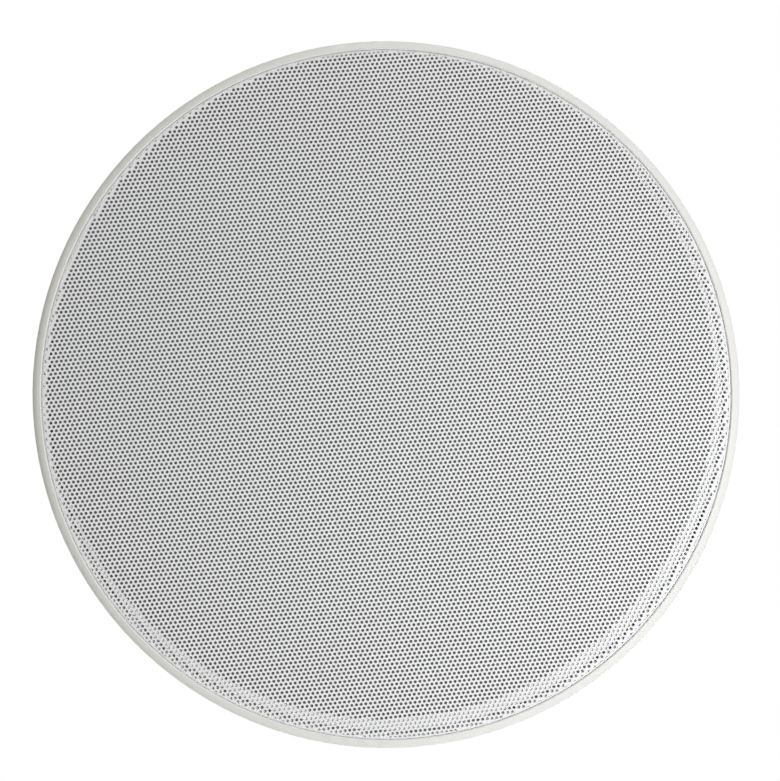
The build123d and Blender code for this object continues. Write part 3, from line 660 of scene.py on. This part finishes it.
# Clamp dogs: stubby nylon arms on the screws' threads, stowed sideways so that the speaker passes its hole.
# Moulded with rounded edges, and with ridges below that bite the back of the ceiling board.
DOG_L = 24.0
DOG_TIP_H = 4.0
DOG_R = 5.0
DOG_STEPS = 40
DOG_TIP_ROUND = 2.5
DOG_TIP_STEPS = 4
DOG_EDGE = 0.7
DOG_STOWED = radians(97)
RIDGES = (11.0, 15.0, 19.0)
RIDGE_R = 0.7
RIDGE_STEPS = 12
RIDGE_SUNK = 0.3
NYLON = (0.024, 0.024, 0.025, 1)
NYLON_FIBRE = (0.045, 0.045, 0.046, 1)

nylon = moulded("filled_nylon", NYLON, NYLON_FIBRE, roughness=0.46, grain=0.9, depth=0.03)
joints = {joint["name"]: joint for joint in frame["joints"]}


def rounded(bm, edges, radius, segments=2):
    """Rounds these edges."""
    bmesh.ops.bevel(bm, geom=edges, offset=radius, affect="EDGES", segments=segments, profile=0.5,
                    material=-1)


for number in range(1, CLAMPS + 1):
    node = f"clamp_dog_{number}"
    low, high = corners(node)
    dog_h = high.z - low.z
    pivot = Vector(joints[f"clamp_swing_{number}"]["pos_m"]) / MM
    bm = bmesh.new()
    side = [(0, 0), (DOG_L, 0), (DOG_L, DOG_TIP_H), (DOG_R, dog_h), (0, dog_h)]
    face = bm.faces.new([bm.verts.new((along, -DOG_R, rise)) for along, rise in side])
    wide = bmesh.ops.extrude_face_region(bm, geom=[face])["geom"]
    wide = [part for part in wide if isinstance(part, bmesh.types.BMVert)]
    bmesh.ops.translate(bm, vec=(0, 2 * DOG_R, 0), verts=wide)
    bmesh.ops.recalc_face_normals(bm, faces=bm.faces)
    tip = [edge for edge in bm.edges if min(vert.co.x for vert in edge.verts) > DOG_L - DOG_EDGE]
    tip = [edge for edge in tip if edge.verts[0].co.y == edge.verts[1].co.y]
    rounded(bm, tip, DOG_TIP_ROUND, DOG_TIP_STEPS)
    rounded(bm, [edge for edge in bm.edges if edge.calc_face_angle(0.0) > CREASE], DOG_EDGE)
    arm_edges = set(bm.edges)
    bmesh.ops.create_cone(bm, cap_ends=True, segments=DOG_STEPS, radius1=DOG_R, radius2=DOG_R, depth=dog_h,
                          matrix=Matrix.Translation((0, 0, dog_h / 2)))
    hub_edges = [edge for edge in bm.edges if edge not in arm_edges]
    rounded(bm, [edge for edge in hub_edges if edge.calc_face_angle(0.0) > CREASE], DOG_EDGE)
    for along in RIDGES:
        across = Matrix.Translation((along, 0, RIDGE_SUNK)) @ Matrix.Rotation(pi / 2, 4, "X")
        bmesh.ops.create_cone(bm, cap_ends=True, segments=RIDGE_STEPS, radius1=RIDGE_R, radius2=RIDGE_R,
                              depth=2 * (DOG_R - DOG_EDGE), matrix=across)
    heading = Matrix.Rotation(atan2(pivot.y, pivot.x) + DOG_STOWED, 4, "Z")
    bmesh.ops.transform(bm, matrix=Matrix.Translation((pivot.x, pivot.y, low.z)) @ heading, verts=bm.verts)
    shown(bm, f"nylon_dog_{number}", "dog_black", nylon, node, node)

# Crossover board: glass-fibre laminate with green solder mask over broad copper tracks.
# Routed to the curve between bucket and skirt, and screwed to three bosses.
TRACK_SIZE = 9.0
TRACK_GAP = 0.07
TRACK_SHARE = 0.7
FIBRE = 0.8
MASK_ROUGH = 0.30
MASK_SWAY = 0.1
MASK_GREEN = (0.020, 0.105, 0.045, 1)
TRACK_GREEN = (0.055, 0.20, 0.085, 1)

mask, mask_sockets, mask_place = surface("solder_mask", Coat_Weight=0.4)
fibre = noise(mask_place, FIBRE)
cells = {"Vector": mask_place, "Scale": 1 / (TRACK_SIZE * MM)}
tracks = mask_place.add("TexVoronoi", cells, {"feature": "DISTANCE_TO_EDGE"}) > TRACK_GAP
mask_skin = TRACK_SHARE * tracks + (1 - TRACK_SHARE) * fibre
mask_place.fill(mask_sockets["Base Color"], mixed(tracks, MASK_GREEN, TRACK_GREEN))
mask_place.fill(mask_sockets["Roughness"], MASK_ROUGH + MASK_SWAY * (fibre - NOISE_MEAN))
mask_place.fill(mask_sockets["Normal"], relief(mask_skin, depth=0.05, rounding=0.2))
shown(joined("crossover_board"), "green_board", "board", mask, "root", "crossover_board")

# Inductor: an air-core coil of thick enamelled wire, wound in layers and bound with varnish.
# Its turns show as ridges round the outside and over the back end.
WIRE_D = 0.9
WIRE_GROOVE = 0.3
COIL_BORE_R = 4.0
COIL_STEPS = 64

low, high = corners("inductor")
middle = (low + high) / 2
coil_r = (high.x - low.x) / 2
turns = int((high.z - low.z) / WIRE_D)
layers = int((coil_r - COIL_BORE_R) / WIRE_D)
wound = [(COIL_BORE_R, low.z)]
for half_turn in range(2 * turns):
    groove = WIRE_GROOVE * (half_turn % 2)
    wound.append((coil_r - groove, low.z + (half_turn + 0.5) * (high.z - low.z) / (2 * turns)))
for half_layer in range(2 * layers):
    groove = WIRE_GROOVE * (half_layer % 2)
    wound.append((coil_r - (half_layer + 0.5) * (coil_r - COIL_BORE_R) / (2 * layers), high.z - groove))
bm = turned(wound, steps=COIL_STEPS)
bmesh.ops.translate(bm, vec=(middle.x, middle.y, 0), verts=bm.verts)
shown(bm, "wound_inductor", "copper", copper, "root", "inductor")

# Capacitors: two metallised film rolls, wrapped in yellow tape and sealed with resin at both ends.
# They lie on the board, and each axial lead turns down into it.
CAN_L = 20.0
CAN_STEPS = 40
SEAL_SUNK = 0.5
SEAL_INSET = 1.2
FOLD_INSET = 0.9
FOLD_ROUND = 0.3
FOLD_ROUND_L = 0.4
LEAD_R = 0.4
LEAD_OUT = 1.2
LEAD_STEPS = 10
FILM_YELLOW = (0.62, 0.42, 0.06, 1)
FILM_EDGE = (0.50, 0.31, 0.04, 1)

film = moulded("film_wrap", FILM_YELLOW, FILM_EDGE, roughness=0.28, grain=3.0, depth=0.03, rounding=0.0,
               Coat_Weight=0.3)


def wire(bm, length, place):
    """A straight piece of lead wire, centred on its place."""
    bmesh.ops.create_cone(bm, cap_ends=True, segments=LEAD_STEPS, radius1=LEAD_R, radius2=LEAD_R,
                          depth=length, matrix=place)


end = CAN_L / 2
for number, (low, high) in enumerate(solids("capacitors"), 1):
    middle = (low + high) / 2
    can_r = (high.z - low.z) / 2
    wrap = [(0, SEAL_SUNK - end), (can_r - SEAL_INSET, SEAL_SUNK - end), (can_r - FOLD_INSET, -end),
            (can_r - FOLD_ROUND, -end), (can_r, FOLD_ROUND_L - end)]
    wrap += [(radius, -height) for radius, height in reversed(wrap)]
    bm = turned(wrap, closed=False, steps=CAN_STEPS)
    for way in (-1, 1):
        wire(bm, LEAD_OUT + LEAD_R, Matrix.Translation((0, 0, way * (end + LEAD_OUT / 2 - LEAD_R))))
        down = Matrix.Translation((can_r / 2, 0, way * (end + LEAD_OUT))) @ Matrix.Rotation(pi / 2, 4, "Y")
        wire(bm, can_r + LEAD_R, down)
    lying = Matrix.Rotation(atan2(middle.y, middle.x), 4, "Z") @ Matrix.Rotation(pi / 2, 4, "X")
    lying = Matrix.Translation(middle) @ lying @ Matrix.Rotation(-pi / 2, 4, "Z")
    bmesh.ops.transform(bm, matrix=lying, verts=bm.verts)
    shown(bm, f"film_capacitor_{number}", "capacitor_film", film, "root", "capacitors")

# Resistor: a wire-wound element cast in a white cement block.
# The cast block has rounded corners and a chalky, speckled skin.
CEMENT = (0.70, 0.67, 0.60, 1)
CEMENT_SPECK = (0.50, 0.47, 0.41, 1)

cement = moulded("cast_cement", CEMENT, CEMENT_SPECK, roughness=0.8, grain=0.7, depth=0.08, rounding=0.5)
shown(joined("resistor"), "cement_resistor", "cement", cement, "root", "resistor")

# Terminal: a black block with a wire hole and a sprung lever for each pole.
# Moulded ABS, screwed to the baffle through two ears, with nickel-plated leaf springs inside.
shown(joined("terminal_block"), "lever_terminal", "terminal_black", abs_black, "root", "terminal_block")
dressed("terminal_springs", nickel)

# Terminal levers: thumb tabs that open the springs, red for plus and black for minus.
# Glossy ABS on moulded pivots, ribbed where the thumb pushes.
LEVER_RIBS = 4
RIB_R = 0.45
RIB_L = 6.6
RIB_STEP = 1.7
RIB_TOP = 1.2
RIB_SEGMENTS = 10
LEVER_RED = (0.50, 0.018, 0.014, 1)
LEVER_RED_SHADE = (0.42, 0.014, 0.011, 1)
LEVER_BLACK = (0.018, 0.018, 0.018, 1)
LEVER_BLACK_SHADE = (0.026, 0.026, 0.026, 1)


def ribbed_lever(node, colour, shade):
    """One lever with thumb ribs across the inner face of its tab."""
    gloss = moulded(f"gloss_{node}", colour, shade, roughness=0.22, depth=0.004, Coat_Weight=0.3)
    top = corners(node)[1].z - RIB_TOP
    joint = joints[f"{node}_press"]
    across = Vector(joint["axis"])
    pivot = Vector(joint["pos_m"]) / MM
    inner_face = pivot + Vector((0, 0, 1)).cross(across) * RIB_TOP
    along = Matrix.Rotation(atan2(across.y, across.x), 4, "Z") @ Matrix.Rotation(pi / 2, 4, "Y")
    bm = joined(node)
    for rib in range(LEVER_RIBS):
        place = Matrix.Translation((inner_face.x, inner_face.y, top - RIB_STEP * rib)) @ along
        bmesh.ops.create_cone(bm, cap_ends=True, segments=RIB_SEGMENTS, radius1=RIB_R, radius2=RIB_R,
                              depth=RIB_L, matrix=place)
    shown(bm, f"ribbed_{node}", node, gloss, node, node)


ribbed_lever("lever_red", LEVER_RED, LEVER_RED_SHADE)
ribbed_lever("lever_black", LEVER_BLACK, LEVER_BLACK_SHADE)

# Grille cloth: a disc of thin dark knitted cloth behind the grille, which hides the drivers.
# Cut and glued to the sheet's back by hand, a little off the middle, so that the white frame shows beside it.
KNIT = 0.4
KNIT_DEPTH = 0.06
CUT_SPARE = 0.85
CUT_WANDER = 0.4
CUT_WAVES = (7, 3)
CUT_STEPS = 144
GLUED_OFF = (1.1, 0.65)
KNIT_DARK = (0.078, 0.078, 0.081, 1)
KNIT_GREY = (0.275, 0.275, 0.284, 1)

knit, knit_sockets, knit_place = surface("knitted_cloth", Roughness=0.95, Specular_IOR_Level=0.2)
stitches = woven(knit_place, KNIT)
knit_place.fill(knit_sockets["Base Color"], mixed(stitches, KNIT_DARK, KNIT_GREY))
knit_place.fill(knit_sockets["Normal"], relief(stitches, KNIT_DEPTH))
cloth_low, cloth_high = corners("grille_cloth")
cloth_r = (cloth_high.x - cloth_low.x) / 2 + CUT_SPARE
cloth_at = (cloth_low + cloth_high) / 2 + Vector((*GLUED_OFF, 0))
bm = bmesh.new()
bmesh.ops.create_circle(bm, cap_ends=True, segments=CUT_STEPS, radius=cloth_r)
for vert in bm.verts:
    angle = atan2(vert.co.y, vert.co.x)
    wander = (1 + sin(CUT_WAVES[0] * angle) * sin(CUT_WAVES[1] * angle)) / 2
    vert.co *= 1 + CUT_WANDER / cloth_r * wander
bmesh.ops.translate(bm, vec=(cloth_at.x, cloth_at.y, cloth_low.z), verts=bm.verts)
bmesh.ops.recalc_face_normals(bm, faces=bm.faces)
bmesh.ops.solidify(bm, geom=bm.faces[:], thickness=cloth_low.z - cloth_high.z)
scrim = shown(bm, "scrim_cloth", "scrim_black", knit, "grille", "grille_cloth")

# Grille: steel sheet punched all over in staggered rows, drawn to a shallow dish, its edge bent and hemmed.
# White powder coat. Its lip drops into the frame's channel, where the magnets hold it.
# The holes have six sides and nearly the area of the round ones. A smooth ring covers the bend.
PITCH = 1.5
HOLE_R = 0.535
ROW_TURN = radians(-6.1)
ROW_SPARE = 1.2
EDGE_ROWS = 2
BEND_R = 0.65
BEND_STEPS = 8
COAT = 0.1
LIP_LAP = 0.6
LIP_SKIN = 0.02
HEM_W = 1.75
HEM_GAP = 0.5
QUARTERS = 4
POWDER = (0.855, 0.858, 0.87, 1)
POWDER_SHADE = (0.825, 0.828, 0.84, 1)

powder, powder_sockets, powder_place, _ = clouded(
    "powder_coat", POWDER, POWDER_SHADE, roughness=0.46, sway=0.1, cloud=20, detail=3,
    Specular_IOR_Level=0.25)
powder_peel = noise(powder_place, size=0.5)
powder_place.fill(powder_sockets["Normal"], relief(powder_peel, depth=0.012))
low, high = corners("grille")
sheet_t = cloth_low.z - low.z
edge_r = high.x + COAT
flat_r = edge_r - BEND_R
bend_l = BEND_R * pi / 2
sheet_r = flat_r + bend_l + LIP_LAP
rows = int(ROW_SPARE * sheet_r / PITCH) + EDGE_ROWS
bm = bmesh.new()
bmesh.ops.create_grid(bm, x_segments=2 * rows, y_segments=2 * rows, size=rows)
stagger = Matrix(((1, 0.5, 0, 0), (0, sqrt(3) / 2, 0, 0), (0, 0, 1, 0), (0, 0, 0, 1)))
lattice = Matrix.Rotation(ROW_TURN, 4, "Z") @ Matrix.Scale(PITCH, 4) @ stagger
bmesh.ops.transform(bm, matrix=lattice, verts=bm.verts)
bmesh.ops.delete(bm, geom=[vert for vert in bm.verts if vert.co.length > sheet_r], context="VERTS")
bmesh.ops.triangulate(bm, faces=bm.faces, quad_method="SHORT_EDGE")
centres = [vert for vert in bm.verts if not vert.is_boundary]
punched = bmesh.ops.bevel(bm, geom=centres, offset=HOLE_R, offset_type="OFFSET", affect="VERTICES",
                          segments=1, profile=0.5, material=-1, clamp_overlap=False)
bmesh.ops.delete(bm, geom=punched["faces"], context="FACES")
for vert in bm.verts:
    reach = vert.co.length
    over = reach - flat_r
    if over > 0:
        angle = min(over, bend_l) / BEND_R
        vert.co *= (flat_r + BEND_R * sin(angle)) / reach
        vert.co.z = BEND_R * (1 - cos(angle)) + max(0, over - bend_l)
bmesh.ops.reverse_faces(bm, faces=bm.faces)
bmesh.ops.translate(bm, vec=(0, 0, low.z), verts=bm.verts)
for quarter in range(QUARTERS):
    part = bm.copy()
    middles = [(face, face.calc_center_median()) for face in part.faces]
    placed = [(face, int(atan2(middle.y, middle.x) % tau / (tau / QUARTERS))) for face, middle in middles]
    bmesh.ops.delete(part, geom=[face for face, place in placed if place != quarter], context="FACES")
    piece = shown(part, f"perforated_sheet_{quarter + 1}", "grille_white", powder, "grille", "grille")
    piece.data.shade_flat()
    steel = piece.modifiers.new("Steel", "SOLIDIFY")
    steel.thickness = sheet_t * MM
    steel.offset = -1
bm.free()
lip_in = high.x - sheet_t
hem_in = high.x - HEM_W
hem_z = low.z + sheet_t + HEM_GAP
lip_bend = BEND_R + LIP_SKIN
lip = [(hem_in, hem_z), (lip_in, hem_z), (flat_r, low.z + COAT)]
for step in range(BEND_STEPS + 1):
    angle = pi / 2 * step / BEND_STEPS
    lip.append((flat_r + lip_bend * sin(angle), low.z + BEND_R - lip_bend * cos(angle)))
lip += [(edge_r + LIP_SKIN, high.z), (lip_in, high.z), (lip_in, hem_z + sheet_t), (hem_in, hem_z + sheet_t)]
shown(turned(lip, steps=2 * ROUND), "grille_lip", "grille_white", powder, "grille", "grille")

# Studio: a camera below the ceiling, with a soft key lamp beside it at the right of the picture.
# Two low lamps light the rim, a large one overhead lights the back, and a white room adds soft light.
# The pale floor lies well below the camera.
CAMERA_AWAY = 0.55
CAMERA_TILT = radians(3.2)
CAMERA_LEAN = radians(-45)
VIEW_W = 0.2521
SENSOR = 36.0
PICTURE_W = 780
PICTURE_H = 781
FACE_X = 388.9
FACE_Y = 391.65
KEY_COLOUR = (0.965, 0.972, 1.0)
EDGE_COLOUR = (0.97, 0.98, 1.0)
OVERHEAD_COLOUR = (1.0, 1.0, 1.0)
ROOM_LIGHT = 0.36
ROOM_WARM = (1.0, 0.98, 0.90, 1)
ROOM_WHITE = (1, 1, 1, 1)
FLOOR_Z = -1.2
FLOOR_HALF = 80.0
FLOOR_CLOUD = 300.0
FLOOR_PALE = (0.27, 0.263, 0.225, 1)
FLOOR_SHADE = (0.255, 0.248, 0.212, 1)
FLOOR_GLOW = (0.66, 0.665, 0.69, 1)
FLOOR_DARK = (0, 0, 0, 1)

face = Vector((0, 0, low.z * MM))
back = Vector((sin(CAMERA_TILT) * cos(CAMERA_LEAN), sin(CAMERA_TILT) * sin(CAMERA_LEAN), -cos(CAMERA_TILT)))
right = Vector((0, 1, 0)).cross(back).normalized()
lens = bpy.data.cameras.new("camera")
lens.sensor_width = SENSOR
lens.lens = SENSOR * CAMERA_AWAY / VIEW_W
lens.shift_x = (PICTURE_W / 2 - FACE_X) / PICTURE_H
lens.shift_y = (FACE_Y - PICTURE_H / 2) / PICTURE_H
camera = bpy.data.objects.new("camera", lens)
turn = Matrix((right, back.cross(right), back)).transposed().to_4x4()
camera.matrix_world = Matrix.Translation(face + back * CAMERA_AWAY) @ turn
bpy.context.scene.collection.objects.link(camera)
bpy.context.scene.camera = camera


def soft_box(name, place, size, power, colour):
    """A square lamp at a place in metres, turned to the speaker."""
    data = bpy.data.lights.new(name, "AREA")
    data.size = size
    data.energy = power
    data.color = colour
    lamp = bpy.data.objects.new(name, data)
    lamp.matrix_world = Matrix.Translation(place) @ Vector(place).to_track_quat("Z", "Y").to_matrix().to_4x4()
    lamp.visible_camera = False
    bpy.context.scene.collection.objects.link(lamp)


soft_box("key", place=(-0.30, -0.14, -0.57), size=0.35, power=3.55, colour=KEY_COLOUR)
soft_box("edge_1", place=(-0.15, 0.9, -0.25), size=0.5, power=3.0, colour=EDGE_COLOUR)
soft_box("edge_2", place=(-0.1, -0.9, -0.25), size=0.5, power=1.6, colour=EDGE_COLOUR)
soft_box("overhead", place=(0.5, -0.7, 1.6), size=4.0, power=42.0, colour=OVERHEAD_COLOUR)

world = bpy.data.worlds.new("room")
world.use_nodes = True
room = Finish(world.node_tree)
straight = room.add("LightPath", {}, out="Is Camera Ray")
mirrored = room.add("LightPath", {}, out="Is Glossy Ray")
through = room.add("LightPath", {}, out="Is Transmission Ray")
white = room.math("MINIMUM", straight + mirrored + through, 1.0)
wall = world.node_tree.nodes["Background"].inputs
room.fill(wall["Color"], mixed(white, ROOM_WARM, ROOM_WHITE))
room.fill(wall["Strength"], ROOM_LIGHT + (1 - ROOM_LIGHT) * white)
bpy.context.scene.world = world

floor_paint, floor_sockets, floor_place = surface("floor_paint", Roughness=0.8, Emission_Strength=1.0)
floor_place.fill(floor_sockets["Base Color"], mixed(noise(floor_place, FLOOR_CLOUD), FLOOR_PALE, FLOOR_SHADE))
straight = floor_place.add("LightPath", {}, out="Is Camera Ray")
floor_place.fill(floor_sockets["Emission Color"], mixed(straight, FLOOR_DARK, FLOOR_GLOW))
bm = bmesh.new()
bmesh.ops.create_grid(bm, x_segments=1, y_segments=1, size=FLOOR_HALF)
bmesh.ops.translate(bm, vec=(0, 0, FLOOR_Z), verts=bm.verts)
ground = bpy.data.meshes.new("floor")
bm.to_mesh(ground)
bm.free()
ground.materials.append(floor_paint)
floor = bpy.data.objects.new("floor", ground)
bpy.context.scene.collection.objects.link(floor)
bpy.context.scene.view_settings.view_transform = "Standard"
